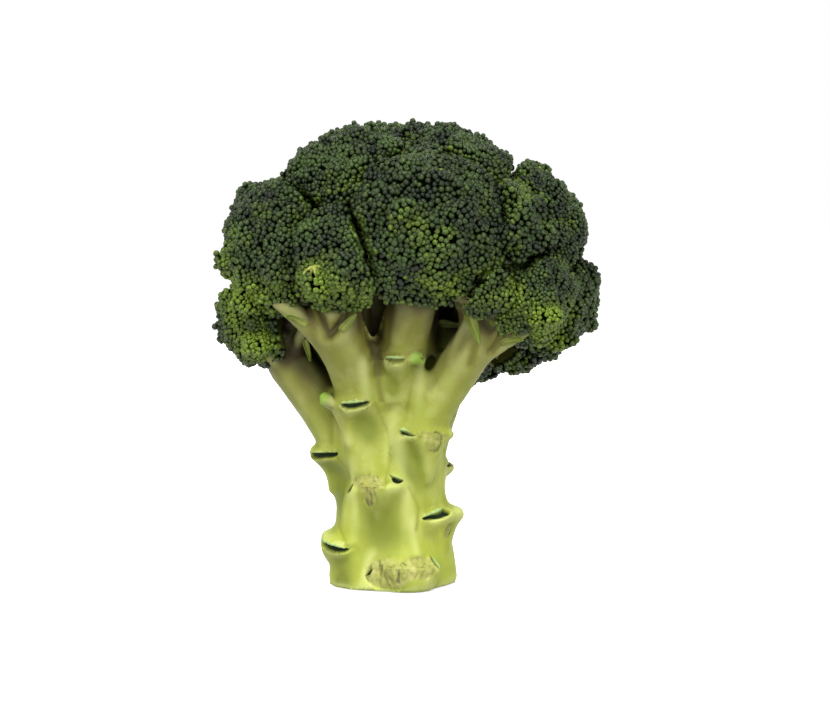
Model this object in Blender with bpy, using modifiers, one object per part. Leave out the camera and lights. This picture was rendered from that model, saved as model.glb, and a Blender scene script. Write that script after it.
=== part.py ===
"""A head of broccoli standing on its cut stalk, as picked: one pale stalk that divides into its
branches, and the green floret that each branch carries.

Metres, +Z up. The origin is the centre of the stalk's cut end, which is the flat face it stands on,
and the side with the broadest floret faces -Y.
"""

import math

import bmesh
import bpy
from mathutils import Matrix, Vector, geometry, noise

MM = 0.001
GOLDEN_ANGLE = math.radians(137.508)  # from one leaf, branch or bud to the next one up
GAP = 0.3 * MM  # between pieces that touch

# The stalk's trunk, as (height, radius) in mm. Its top tapers away inside the bundle of branches
TRUNK_PROFILE = (
    (-4, 25.0),
    (0, 24.6),
    (8, 23.6),
    (20, 21.8),
    (40, 20.6),
    (54, 20.0),
    (66, 17.0),
    (76, 12.0),
    (84, 6.0),
)
TRUNK_RINGS = 30
TRUNK_SIDES = 60
TRUNK_RIBS = 5
RIB_HEIGHT = 0.8 * MM

# Leaves climb the stalk by the golden angle, one every LEAF_STEP
FIRST_LEAF_HEADING = math.radians(20)  # from the front, -Y, towards +X
FIRST_LEAF_HEIGHT = 8 * MM
LEAF_STEP = 6.15 * MM
LEAVES = 14

# The stub of each cut leaf: its size at the lowest leaf, and what it loses from leaf to leaf
STUB_HALF_WIDTH = (12.5 * MM, 0.35 * MM)
STUB_REACH = (7.0 * MM, 0.3 * MM)  # how far it stands out of the stalk
STUB_DROP = (26 * MM, 0.9 * MM)
STUB_ROOT = 3 * MM  # how far it starts inside the stalk
STUB_POINT = 0.2  # width of its lower end, as a share of its top's
STUB_SIDES = 24

# Branches grow in the axils of the leaves higher up: leaf number, fork (mm), radius (mm)
BRANCHES = {
    6: ((26, 21, 82), 8.5),
    7: ((-38, 2, 83), 9.5),
    8: ((31, -17, 91), 8.5),
    9: ((-4, 32, 90), 10.0),
    10: ((-20, -22, 98), 10.0),
    11: ((37, 4, 106), 9.5),
    12: ((-25, 19, 104), 10.0),
    13: ((8, -20, 106), 9.5),
    14: ((20, 22, 110), 10.0),
    15: ((-12, -5, 122), 8.5),
    16: ((15, -2, 122), 8.5),
    17: ((1, 14, 124), 8.5),
}
ROOT_DEPTH = 20 * MM  # a branch starts this far below its leaf, inside the trunk
ROOT_RADIUS = 11.5 * MM  # and this far from the stalk's axis
LEAN = 0.75  # how far out a branch leans at its fork, for each unit up
ROOT_POINTS = 11  # along a branch's centre line, up to its fork
STEM_POINTS = 9  # from the fork to the floret
STEM = 0.32  # radius of a branch half way from its fork, as a share of its floret's dome's
COLLAR = 0.62  # the same where it meets its floret
COLLAR_START = 0.45  # share of the way from the fork where it begins to widen
COLLAR_CURVE = 1.6
STALK_REACH = 0.8 * MM  # a branch ends this far under its floret
FLUTES = 5
FLUTE_DEPTH = 0.05  # share of the branch's radius

# How the stalk's pieces grow together into one skin
BODY_VOXEL = 1.3 * MM
BODY_SMOOTHING = 16
SKIN_VOXEL = 1.0 * MM
SKIN_SMOOTHING = 4
STALK_TRIANGLES = 4800

# Florets: the branch that carries each, its dome's centre (mm) and its dome's radius (mm)
FLORETS = {
    "front_centre": (13, (14, -28, 134), 32.0),
    "front_left": (10, (-19, -31, 124), 22.5),
    "front_right": (8, (42, -20, 133), 21.0),
    "front_low": (8, (34, -34, 115), 14.0),
    "left": (10, (-39, -15, 127), 26.0),
    "left_low": (7, (-49, 2, 99), 19.5),
    "left_back": (7, (-42, 13, 130), 24.5),
    "top_left": (15, (-15, -6, 146), 28.5),
    "top_right": (16, (23, 2, 146), 28.5),
    "top_back": (17, (4, 18, 151), 25.5),
    "right_upper": (11, (50, 4, 133), 26.5),
    "right": (8, (51, -18, 111), 20.5),
    "right_back": (11, (59, 10, 107), 22.5),
    "right_low": (6, (49, 18, 91), 16.0),
    "back_right_low": (6, (31, 33, 85), 16.5),
    "back_left": (12, (-26, 32, 130), 28.5),
    "back_right": (14, (32, 32, 130), 29.5),
    "back_centre": (17, (2, 38, 138), 26.5),
    "back_low": (9, (5, 46, 111), 25.0),
    "back_left_low": (9, (-23, 42, 101), 21.5),
    "left_back_low": (12, (-44, 26, 105), 20.0),
}
CROWN_HEART = Vector((3, 2, 104)) * MM  # the domes face away from this point
DOME_HEIGHT = 0.9  # of a dome along its axis, as a share of its radius across
UNDERSIDE = 0.5  # share of the radius from a dome's centre to its flat underside
NEIGHBOUR_REACH = 4 * MM  # domes closer together than this press against each other
WAVE = 0.04  # share of the radius by which a dome swells and sinks broadly
WAVES = 1.7  # noise cells across a dome's radius
WAVE_SIZE = 25 * MM  # distance between domes at which their waves differ
CLUSTER_SIZE = 17 * MM
CLUSTER_RISE = 2.6 * MM
CLUSTER_ROUNDNESS = 1.6  # the higher, the narrower the valleys between clusters

# Buds, larger than life
BUD_SPACING = 5.9 * MM
BUD_RISE = 0.7 * MM
BUD_SINK = 1.1 * MM
PRESSED_RIM = 0.9  # share of the open dome's reach above which every point is kept
PRESSED_SHARE = 9  # deeper than that, one point is kept for this many buds


def clear_scene():
    for obj in list(bpy.data.objects):
        bpy.data.objects.remove(obj)


def new_collection(name):
    collection = bpy.data.collections.new(name)
    bpy.context.scene.collection.children.link(collection)
    return collection


def new_material(name, colour, roughness):
    material = bpy.data.materials.new(name)
    material.use_nodes = True
    shader = material.node_tree.nodes["Principled BSDF"]
    shader.inputs["Base Color"].default_value = (*colour, 1)
    shader.inputs["Roughness"].default_value = roughness
    return material


def new_object(name, data, collection):
    obj = bpy.data.objects.new(name, data)
    collection.objects.link(obj)
    return obj


def mark_as_guide(obj):
    obj.hide_render = True
    obj.display_type = "WIRE"


def mesh_from(bm, name):
    bmesh.ops.recalc_face_normals(bm, faces=bm.faces)
    mesh = bpy.data.meshes.new(name)
    bm.to_mesh(mesh)
    bm.free()
    return mesh


def append(bm, mesh):
    bm.from_mesh(mesh)
    bpy.data.meshes.remove(mesh)


def evaluated_mesh(obj):
    graph = bpy.context.evaluated_depsgraph_get()
    return bpy.data.meshes.new_from_object(obj.evaluated_get(graph))


def leaf_heading(leaf):
    return FIRST_LEAF_HEADING + leaf * GOLDEN_ANGLE


def leaf_height(leaf):
    return FIRST_LEAF_HEIGHT + leaf * LEAF_STEP


def outward(heading):
    """The level unit vector that leaves the stalk at a heading."""
    return Vector((math.sin(heading), -math.cos(heading), 0))


def trunk_radius(height):
    """The trunk's radius at a height, straight from one point of its profile to the next."""
    for (low, first), (high, second) in zip(TRUNK_PROFILE, TRUNK_PROFILE[1:]):
        if height <= high * MM:
            break
    share = (height / MM - low) / (high - low)
    return (first + (second - first) * min(1.0, share)) * MM


def add_trunk(bm):
    """A ribbed trunk, from a cylinder whose rings follow the trunk's profile."""
    foot, top = TRUNK_PROFILE[0][0] * MM, TRUNK_PROFILE[-1][0] * MM
    tall = top - foot
    trunk = bmesh.new()
    bmesh.ops.create_cone(trunk, cap_ends=True, segments=TRUNK_SIDES, radius1=1, radius2=1, depth=tall)
    bmesh.ops.translate(trunk, vec=(0, 0, foot + tall / 2), verts=trunk.verts)
    uprights = [e for e in trunk.edges if abs(e.verts[0].co.z - e.verts[1].co.z) > tall / 2]
    bmesh.ops.subdivide_edges(trunk, edges=uprights, cuts=TRUNK_RINGS)
    for vert in trunk.verts:
        heading = math.atan2(vert.co.x, -vert.co.y)
        rib = RIB_HEIGHT * math.cos(TRUNK_RIBS * (heading - FIRST_LEAF_HEADING))
        vert.co = outward(heading) * (trunk_radius(vert.co.z) + rib) + Vector((0, 0, vert.co.z))
    append(bm, mesh_from(trunk, "trunk"))


def leaf_place(leaf):
    """Where a leaf grew: on the trunk or, higher up, on the foot of its branch."""
    heading, height = leaf_heading(leaf), leaf_height(leaf)
    reach = trunk_radius(height)
    if leaf in BRANCHES:
        nearest = min(root_line(leaf), key=lambda point: abs(point.z - height))
        reach = max(reach, nearest.dot(outward(heading)) + BRANCHES[leaf][1] * MM)
    return outward(heading) * reach + Vector((0, 0, height))


def add_stub(bm, leaf):
    """The stub of a cut leaf: wide and flat on top, it narrows downwards into the stalk."""
    heading = leaf_heading(leaf)
    sizes = (STUB_HALF_WIDTH, STUB_REACH, STUB_DROP)
    width, reach, drop = (first - leaf * loss for first, loss in sizes)
    stub = bmesh.new()
    bmesh.ops.create_cone(
        stub, cap_ends=True, segments=STUB_SIDES, radius1=STUB_POINT, radius2=1, depth=1
    )
    bmesh.ops.translate(stub, vec=(0, 0, -0.5), verts=stub.verts)
    bmesh.ops.scale(stub, vec=(width, reach + STUB_ROOT, drop), verts=stub.verts)
    bmesh.ops.rotate(stub, matrix=Matrix.Rotation(heading, 3, "Z"), verts=stub.verts)
    bmesh.ops.translate(stub, vec=leaf_place(leaf) - outward(heading) * STUB_ROOT, verts=stub.verts)
    append(bm, mesh_from(stub, "stub"))


def dome_of(name):
    """Leaf number, centre, radius and axis of a floret's dome."""
    leaf, centre, radius = FLORETS[name]
    centre = Vector(centre) * MM
    return leaf, centre, radius * MM, (centre - CROWN_HEART).normalized()


def fork_of(leaf):
    """A branch's fork and the direction in which the branch reaches it."""
    fork = Vector(BRANCHES[leaf][0]) * MM
    lean = Vector((fork.x, fork.y, 0)).normalized() * LEAN
    return fork, (lean + Vector((0, 0, 1))).normalized()


def root_line(leaf):
    """The centre line of a branch up to its fork: straight up in the trunk, then leaning out."""
    fork, lean = fork_of(leaf)
    root = outward(leaf_heading(leaf)) * ROOT_RADIUS
    root.z = leaf_height(leaf) - ROOT_DEPTH
    rise = (fork - root).length
    upright = root + Vector((0, 0, 0.3 * rise))
    return geometry.interpolate_bezier(root, upright, fork - lean * 0.35 * rise, fork, ROOT_POINTS)


def branch_line(name):
    """The branch's centre line with its radii, from the trunk's core by its fork to the floret."""
    leaf, centre, dome, axis = dome_of(name)
    fork, lean = fork_of(leaf)
    thickness = BRANCHES[leaf][1] * MM
    foot = centre - axis * (UNDERSIDE * dome + STALK_REACH)
    reach = (foot - fork).length
    leaving, arriving = fork + lean * 0.35 * reach, foot - axis * 0.4 * reach
    line = root_line(leaf)
    stem_line = geometry.interpolate_bezier(fork, leaving, arriving, foot, STEM_POINTS)
    radii = [thickness] * len(line)
    for step in range(1, STEM_POINTS):
        share = step / (STEM_POINTS - 1)
        stem = thickness + (STEM * dome - thickness) * min(1.0, 2 * share)
        flare = max(0.0, (share - COLLAR_START) / (1 - COLLAR_START)) ** COLLAR_CURVE
        radii.append(stem + (COLLAR * dome - stem) * flare)
    return line + stem_line[1:], radii


def add_branch(bm, name, profile, collection):
    """A branch: the fluted profile swept along its line, with its caps welded on."""
    points, radii = branch_line(name)
    curve = bpy.data.curves.new(f"branch_{name}", "CURVE")
    curve.dimensions = "3D"
    curve.bevel_mode = "OBJECT"
    curve.bevel_object = profile
    curve.use_fill_caps = True
    spline = curve.splines.new("POLY")
    spline.points.add(len(points) - 1)
    for point, place, radius in zip(spline.points, points, radii):
        point.co = (*place, 1)
        point.radius = radius
    tube = new_object(curve.name, curve, collection)
    bpy.context.view_layer.update()
    branch = bmesh.new()
    append(branch, evaluated_mesh(tube))
    bpy.data.objects.remove(tube)
    bmesh.ops.remove_doubles(branch, verts=branch.verts, dist=0.01 * MM)
    append(bm, mesh_from(branch, "branch"))


def fluted_profile(collection):
    """A branch's outline, of radius 1, with the flutes that its branchlets leave in it."""
    curve = bpy.data.curves.new("flutes", "CURVE")
    curve.dimensions = "2D"
    spline = curve.splines.new("POLY")
    count = 5 * FLUTES
    spline.points.add(count - 1)
    for step, point in enumerate(spline.points):
        turn = math.tau * step / count
        radius = 1 + FLUTE_DEPTH * math.cos(FLUTES * turn)
        point.co = (radius * math.cos(turn), radius * math.sin(turn), 0, 1)
    spline.use_cyclic_u = True
    profile = new_object("flutes", curve, collection)
    mark_as_guide(profile)
    return profile


def grown_together(bm, voxel, smoothing, collection, triangles=None):
    """One skin round everything in the mesh, smoothed, and reduced to a number of triangles."""
    rough = new_object("rough", mesh_from(bm, "rough"), collection)
    skin = rough.modifiers.new("skin", "REMESH")
    skin.mode = "VOXEL"
    skin.voxel_size = voxel
    smooth = rough.modifiers.new("smooth", "SMOOTH")
    smooth.iterations = smoothing
    bpy.context.view_layer.update()
    mesh = evaluated_mesh(rough)
    if triangles:
        mesh.calc_loop_triangles()
        fewer = rough.modifiers.new("fewer", "DECIMATE")
        fewer.ratio = triangles / len(mesh.loop_triangles)
        bpy.context.view_layer.update()
        mesh = evaluated_mesh(rough)
    bpy.data.objects.remove(rough)
    return mesh


def cut_level(bm):
    """The clean cut across the stalk's foot, at the height of the origin."""
    everything = bm.verts[:] + bm.edges[:] + bm.faces[:]
    cut = bmesh.ops.bisect_plane(
        bm, geom=everything, plane_co=(0, 0, 0), plane_no=(0, 0, -1), clear_outer=True
    )
    rim = [e for e in cut["geom_cut"] if isinstance(e, bmesh.types.BMEdge)]
    bmesh.ops.contextual_create(bm, geom=rim)
    bmesh.ops.triangulate(bm, faces=bm.faces)


def make_stalk(collection, helpers):
    """Trunk and branches grow together with smooth forks, then the leaf stubs stand out of them."""
    body = bmesh.new()
    add_trunk(body)
    profile = fluted_profile(helpers)
    for name in FLORETS:
        add_branch(body, name, profile, helpers)
    skin = bmesh.new()
    append(skin, grown_together(body, BODY_VOXEL, BODY_SMOOTHING, helpers))
    for leaf in range(LEAVES):
        add_stub(skin, leaf)
    stalk = bmesh.new()
    append(stalk, grown_together(skin, SKIN_VOXEL, SKIN_SMOOTHING, helpers, STALK_TRIANGLES))
    cut_level(stalk)
    return new_object("stalk", mesh_from(stalk, "stalk"), collection)


def dome_limits(name):
    """The planes that a floret stays inside, as (outward unit normal, distance from its centre):
    one against each neighbour, half way between the two domes, and one under it."""
    _, centre, radius, axis = dome_of(name)
    limits = [(-axis, UNDERSIDE * radius)]
    for other in FLORETS:
        _, there, other_radius, _ = dome_of(other)
        apart = (there - centre).length
        if other != name and apart < radius + other_radius + NEIGHBOUR_REACH:
            middle = (apart**2 + radius**2 - other_radius**2) / (2 * apart)
            limits.append(((there - centre) / apart, middle - GAP / 2))
    return limits


def limit_along(limits, direction):
    """How far a ray from the dome's centre gets before it meets a limit."""
    facing = [(direction.dot(normal), reach) for normal, reach in limits]
    return min((reach / slope for slope, reach in facing if slope > 0), default=math.inf)


def open_reach(centre, radius, axis, direction):
    """Distance from the centre to the dome's skin, raised over each small cluster of buds."""
    along = direction.dot(axis)
    flat = DOME_HEIGHT if along > 0 else 1.0
    egg = radius / math.sqrt(1 + along**2 * (flat**-2 - 1))
    broad = noise.noise(WAVES * direction + centre / WAVE_SIZE)
    near, _ = noise.voronoi((centre + direction * radius) / CLUSTER_SIZE)
    swell = min(1.0, CLUSTER_ROUNDNESS * (near[1] - near[0]))
    return egg * (1 + WAVE * broad) + CLUSTER_RISE * (swell - 0.5)


def bud_directions(centre, radius, axis, limits):
    """Unit vectors by the golden angle, close together where the dome is open and few deep down
    where it is pressed against its neighbours. Returns them with whether each carries a bud."""
    count = round(4 * math.pi * radius**2 / (math.sqrt(3) / 2 * BUD_SPACING**2))
    found = []
    for step in range(count):
        height = 1 - (2 * step + 1) / count
        level = math.sqrt(1 - height**2)
        turn = step * GOLDEN_ANGLE
        direction = Vector((level * math.cos(turn), level * math.sin(turn), height))
        share = limit_along(limits, direction) / open_reach(centre, radius, axis, direction)
        if share > PRESSED_RIM or step % PRESSED_SHARE == 0:
            found.append((direction, share > 1))
    return found


def can_turn(edge, middles):
    """Whether the edge between two buds can become the valley between their faces' middles."""
    if len(edge.link_faces) != 2 or not all(f in middles for f in edge.link_faces):
        return False
    a, b = (middles[f] for f in edge.link_faces)
    side = a.cross(b)
    first, second = (side.dot(v.co) for v in edge.verts)
    return first * second < -1e-4 * side.length_squared


def make_floret(name, collection):
    """A dome of buds: each bud is a peak over a six-sided foot, with valleys between the buds."""
    _, centre, radius, axis = dome_of(name)
    limits = dome_limits(name)
    bm = bmesh.new()
    buds = set()
    for direction, is_open in bud_directions(centre, radius, axis, limits):
        vert = bm.verts.new(direction)
        if is_open:
            buds.add(vert)
    bmesh.ops.convex_hull(bm, input=bm.verts)
    open_faces = [f for f in bm.faces if all(v in buds for v in f.verts)]
    middles = {f: f.calc_center_median().normalized() for f in open_faces}
    ridges = [e for e in bm.edges if can_turn(e, middles)]
    valleys = set(bmesh.ops.poke(bm, faces=open_faces)["verts"])
    bmesh.ops.rotate_edges(bm, edges=ridges)
    for vert in bm.verts:
        direction = vert.co.normalized()
        reach = open_reach(centre, radius, axis, direction)
        if vert in buds:
            reach += BUD_RISE
        elif vert in valleys:
            reach -= BUD_SINK
        vert.co = centre + direction * min(reach, limit_along(limits, direction))
    return new_object(f"floret_{name}", mesh_from(bm, f"floret_{name}"), collection)


def make_cutter(stalk, helpers):
    """The stalk, a gap larger all round."""
    cutter = new_object("stalk_clearance", stalk.data.copy(), helpers)
    normals = [vert.normal.copy() for vert in cutter.data.vertices]
    for vert, normal in zip(cutter.data.vertices, normals):
        vert.co += normal * GAP
    mark_as_guide(cutter)
    return cutter


def keep_clear(floret, cutter):
    """Cuts the branches' way out of a floret. The EXACT solver loses the broadest dome here."""
    cut = floret.modifiers.new("branches", "BOOLEAN")
    cut.operation = "DIFFERENCE"
    cut.solver = "MANIFOLD"
    cut.object = cutter


def main():
    clear_scene()
    head = new_collection("broccoli_head")
    helpers = new_collection("cutters")
    pale = new_material("stalk_skin", (0.50, 0.62, 0.16), 0.45)
    green = new_material("buds", (0.06, 0.13, 0.03), 0.6)
    stalk = make_stalk(head, helpers)
    stalk.data.materials.append(pale)
    cutter = make_cutter(stalk, helpers)
    for name in FLORETS:
        floret = make_floret(name, head)
        floret.data.materials.append(green)
        keep_clear(floret, cutter)


main()
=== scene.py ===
import math

import bmesh
import bpy
import numpy as np
from mathutils import Matrix, Vector, kdtree, noise
from mathutils.bvhtree import BVHTree


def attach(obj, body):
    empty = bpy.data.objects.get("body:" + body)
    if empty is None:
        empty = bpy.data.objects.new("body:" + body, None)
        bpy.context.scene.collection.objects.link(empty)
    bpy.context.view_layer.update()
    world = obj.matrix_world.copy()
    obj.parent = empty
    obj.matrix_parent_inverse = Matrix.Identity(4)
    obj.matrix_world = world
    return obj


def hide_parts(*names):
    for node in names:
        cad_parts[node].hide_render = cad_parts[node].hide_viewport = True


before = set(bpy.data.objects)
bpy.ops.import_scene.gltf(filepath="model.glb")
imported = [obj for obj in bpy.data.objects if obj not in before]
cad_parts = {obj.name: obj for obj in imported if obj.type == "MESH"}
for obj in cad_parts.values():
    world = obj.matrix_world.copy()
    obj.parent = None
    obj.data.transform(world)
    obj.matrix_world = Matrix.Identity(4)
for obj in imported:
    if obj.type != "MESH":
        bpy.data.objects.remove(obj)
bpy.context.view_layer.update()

MM = 0.001


# ---- Beds of the florets ----
# Under its buds a floret is a dome of crowded flower stalks, painted near black between the buds as
# painted shade and pale underneath, where they leave the branch. Each floret grew on its own branch.

BED_VOXEL = 1.5 * MM
BED_SMOOTHING = 5
BED_SINK = 0.7 * MM  # the bed lies under the buds' feet
TUFT_SIZE = 5.2 * MM  # the buds of one small flower stalk
TUFT_RISE = 2.3 * MM
LUMP_SIZE = 12.5 * MM  # a bigger flower stalk with its side stalks
LUMP_RISE = 3.0 * MM
VALLEY = (3.2 * MM, 1.2 * MM)  # where two florets meet: half width and depth
RELIEF = (-0.6, -0.2)  # cosines to the dome's axis: the flat underside has none, and it is full further up
DRAWN_UP = {"floret_front_centre": 6.0, "floret_front_left": 2.5}  # how far a dome's low rim is, in mm
CROWN_HEART = np.array((3, 2, 104)) * MM  # the florets fan out from here
FAR = -120  # mm in front of the head, where a look at its front starts
SIDE_DOMES = (  # small domes that stand out of the crown's front: place (x, z), radius and reach, in mm
    (-50.5, 90, 4.8, 2.0), (-54, 108, 5.5, -1.8), (-26, 112, 5.5, -1.8), (20, 115, 5.5, -1.8),
    (35, 121, 5.5, -1.8), (55.5, 102, 5.0, -1.5), (-37, 128, 6.5, -2.2), (63, 91, 4.5, -1.5),
    (4, 140, 7.0, -2.5), (-60, 122, 5.5, -1.8), (27, 140, 6.5, -2.2), (49, 138, 5.5, -1.8),
    (29, 112, 6.5, -1.0), (42.5, 147, 5.0, -1.0), (43.5, 133, 5.0, -0.5), (42.5, 125, 4.5, -0.5),
    (-14, 124, 4.5, -0.5),
)
MERGE = 0.01 * MM  # vertices this near to each other are one
FLORETS = [name for name in sorted(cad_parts) if name.startswith("floret_")]


def merged_copy(node):
    """A CAD node's loose triangles as one closed bmesh."""
    bm = bmesh.new()
    bm.from_mesh(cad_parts[node].data)
    bmesh.ops.remove_doubles(bm, verts=bm.verts, dist=MERGE)
    return bm


def new_mesh(name, bm):
    """A mesh of the bmesh, which it uses up."""
    mesh = bpy.data.meshes.new(name)
    bm.to_mesh(mesh)
    bm.free()
    return mesh


def new_object(name, data):
    obj = bpy.data.objects.new(name, data)
    bpy.context.scene.collection.objects.link(obj)
    return obj


def evaluated(obj):
    """The object's mesh with its modifiers applied. The object is removed."""
    graph = bpy.context.evaluated_depsgraph_get()
    mesh = bpy.data.meshes.new_from_object(obj.evaluated_get(graph))
    bpy.data.objects.remove(obj)
    return mesh


def skin_over(bm, voxel, smoothing):
    """One even, smoothed skin round everything in a bmesh, which it uses up."""
    rough = new_object("rough", new_mesh("rough", bm))
    remesh = rough.modifiers.new("skin", "REMESH")
    remesh.mode = "VOXEL"
    remesh.voxel_size = voxel
    smooth = rough.modifiers.new("smooth", "SMOOTH")
    smooth.iterations = smoothing
    return evaluated(rough)


def places(mesh):
    """The mesh's vertices as an array of rows."""
    values = np.empty(3 * len(mesh.vertices))
    mesh.vertices.foreach_get("co", values)
    return values.reshape(-1, 3)


def vertex_normals(mesh):
    values = np.empty(3 * len(mesh.vertices))
    mesh.vertex_normals.foreach_get("vector", values)
    return values.reshape(-1, 3)


def move_to(mesh, points):
    mesh.vertices.foreach_set("co", points.ravel())
    mesh.update()


def set_attribute(mesh, name, values):
    attribute = mesh.attributes.new(name, "FLOAT", "POINT")
    attribute.data.foreach_set("value", np.asarray(values, np.float32))


def unit(vectors):
    return vectors / np.maximum(1e-9, np.linalg.norm(vectors, axis=-1, keepdims=True))


def smoothstep(low, high, values):
    share = np.clip((values - low) / (high - low), 0, 1)
    return share * share * (3 - 2 * share)


def cell_heights(points, size):
    """0 in the valleys between flower stalks of that size, 1 over the middle of each."""
    near = [noise.voronoi(Vector(point) / size)[0] for point in points]
    return np.array([min(1.0, 1.5 * (second - first)) for first, second, *_ in near])


def underside_of(node):
    """The middle, axis and reach of the flat underside of a floret's dome."""
    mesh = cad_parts[node].data
    centre = places(mesh).mean(axis=0)
    away = unit(centre - CROWN_HEART)
    faces = [f for f in mesh.polygons if np.dot(f.normal, away) < -0.8]
    areas = np.array([f.area for f in faces])
    down = unit((np.array([f.normal for f in faces]) * areas[:, None]).sum(axis=0))
    spots = np.array([f.center for f in faces])
    level = (spots @ down * areas).sum() / areas.sum()
    middle = centre + down * (level - centre @ down)
    across = spots - middle
    across -= np.outer(across @ down, down)
    return middle, -down, np.linalg.norm(across, axis=1).max()


def finder_of(points):
    """A search tree that finds the places near to a place."""
    finder = kdtree.KDTree(len(points))
    for index, point in enumerate(points):
        finder.insert(point, index)
    finder.balance()
    return finder


def meeting(points, owners, reach):
    """0 where no other floret is within reach of a place, 1 where they touch."""
    finder = finder_of(points)
    closest = []
    for point, owner in zip(points, owners):
        found = finder.find_range(point, reach)
        closest.append(min((far for _, other, far in found if owners[other] != owner), default=reach))
    return smoothstep(reach, 0, np.array(closest))


def front_hit(tree, x, z):
    """Where a look from the front, at x and z in mm, meets a shape, or None."""
    return tree.ray_cast(Vector((x, FAR, z)) * MM, Vector((0, 1, 0)))[0]


undersides = {name: underside_of(name) for name in FLORETS}
domes = {name: merged_copy(name) for name in FLORETS}
for x, z, radius, stand in SIDE_DOMES:
    hits = {name: front_hit(BVHTree.FromBMesh(bm), x, z) for name, bm in domes.items()}
    _, name = min((hit.y, name) for name, hit in hits.items() if hit is not None)
    place = Matrix.Translation(hits[name] - Vector((0, stand * MM, 0)))
    bmesh.ops.create_icosphere(domes[name], subdivisions=2, radius=radius * MM, matrix=place)
beds = {name: skin_over(bm, BED_VOXEL, BED_SMOOTHING) for name, bm in domes.items()}
bed_owner = np.repeat(np.arange(len(FLORETS)), [len(mesh.vertices) for mesh in beds.values()])
valley = meeting(np.concatenate([places(mesh) for mesh in beds.values()]), bed_owner, VALLEY[0])
crowded = {}
for number, (name, mesh) in enumerate(beds.items()):
    points, normals = places(mesh), vertex_normals(mesh)
    middle, axis, reach = undersides[name]
    down = unit(axis * axis[2] - (0, 0, 1))
    below = np.maximum(0, (points - middle) @ down - reach / 2)
    points -= np.outer(below * DRAWN_UP.get(name, 0) * MM / (reach / 2), down)
    crowded[name] = valley[bed_owner == number]
    tufts, lumps = cell_heights(points, TUFT_SIZE), cell_heights(points, LUMP_SIZE)
    outside = smoothstep(*RELIEF, normals @ axis)
    rise = (tufts - 0.5) * TUFT_RISE + (lumps - 0.55) * LUMP_RISE
    move = outside * (rise - BED_SINK) - VALLEY[1] * crowded[name]
    move_to(mesh, points + normals * move[:, None])


# ---- Stalk ----
# The stalk is the thick, pale flesh of the plant: a ribbed trunk that forks into the branches
# under the crown. It grew in one piece and was cut level at the foot, where it stands.

STALK_VOXEL = 1.15 * MM
STALK_SMOOTHING = 5
FOOT = 0.4 * MM  # what lies lower belongs to the cut
BRANCHLETS = 6  # a branch divides into these under its floret
DIVIDING = 18 * MM  # how far below the floret they begin to show
BRANCHLET_RADII = (0.15, 0.1)  # where it leaves the branch and at the dome, as shares of the dome's reach
TURNED = 2.1  # from one floret to the next, in radians, shared out over the branchlets
INNER_STEM = ((-15, 6, 66), (-25, 10, 84), (-33, 16, 104), 6.5, 5.0)  # behind the left front branches
# side stems on the front: start, middle and end (x, z), two radii and how far it leans out, in mm
FRONT_STEMS = (
    ((-20, 86), (-27, 98), (-42, 109), 5.2, 3.4, 4),
    ((30, 82), (36, 92), (46, 104), 4.0, 3.0, 4),
    ((21, 82), (25, 92), (29, 101), 3.0, 2.2, 3),
    ((34, 86), (43, 93), (53, 98), 3.0, 2.0, 4),
    ((-38, 80), (-46, 86), (-52, 92), 3.0, 2.4, 2),
    ((-35, 86), (-36, 92), (-31, 96), 2.6, 2.6, 3),
)


def edge_table(mesh):
    values = np.empty(2 * len(mesh.edges), np.int32)
    mesh.edges.foreach_get("vertices", values)
    return values.reshape(-1, 2)


def averaged(values, edges, rounds):
    """Values at vertices, each replaced that many times by the mean of its neighbours'."""
    a, b = edges[:, 0], edges[:, 1]
    count = np.bincount(edges.ravel(), minlength=len(values))
    for _ in range(rounds):
        total = np.bincount(a, values[b], len(values)) + np.bincount(b, values[a], len(values))
        values = total / np.maximum(1, count)
    return values


def hollowness(mesh):
    """How far each vertex lies under its neighbours, in metres along its normal."""
    points, normals, edges = places(mesh), vertex_normals(mesh), edge_table(mesh)
    middles = np.stack([averaged(column, edges, 1) for column in points.T], axis=1)
    return ((middles - points) * normals).sum(axis=1)


def stem(bm, path, radii):
    """Adds a closed round stem along a path of points to the bmesh."""
    path = [Vector(point) for point in path]
    frames = []
    for index, (point, radius) in enumerate(zip(path, radii)):
        way = path[min(index + 1, len(path) - 1)] - path[max(index - 1, 0)]
        turn = way.to_track_quat("Z", "Y").to_matrix().to_4x4()
        frames.append(Matrix.Translation(point) @ turn @ Matrix.Scale(radius, 4))
    verts = bmesh.ops.create_circle(bm, cap_ends=True, segments=8, radius=1, matrix=frames[0])["verts"]
    whole, cap = set(verts), verts[0].link_faces[0]
    for before, after in zip(frames, frames[1:]):
        grown = bmesh.ops.extrude_face_region(bm, geom=[cap])["geom"]
        verts = [item for item in grown if isinstance(item, bmesh.types.BMVert)]
        cap = next(item for item in grown if isinstance(item, bmesh.types.BMFace))
        bmesh.ops.transform(bm, matrix=after @ before.inverted(), verts=verts)
        whole.update(verts)
    bmesh.ops.recalc_face_normals(bm, faces=list({face for vert in whole for face in vert.link_faces}))


def bent(start, middle, end, count):
    """Points of a smooth bend from start to end, drawn towards the middle."""
    return [(1 - t) ** 2 * start + 2 * t * (1 - t) * middle + t * t * end for t in np.linspace(0, 1, count)]


def round_frame(axis):
    """Two directions at right angles to an axis and to each other."""
    side = unit(np.cross(axis, (0.3, 0.5, 0.8)))
    return side, np.cross(axis, side)


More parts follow.
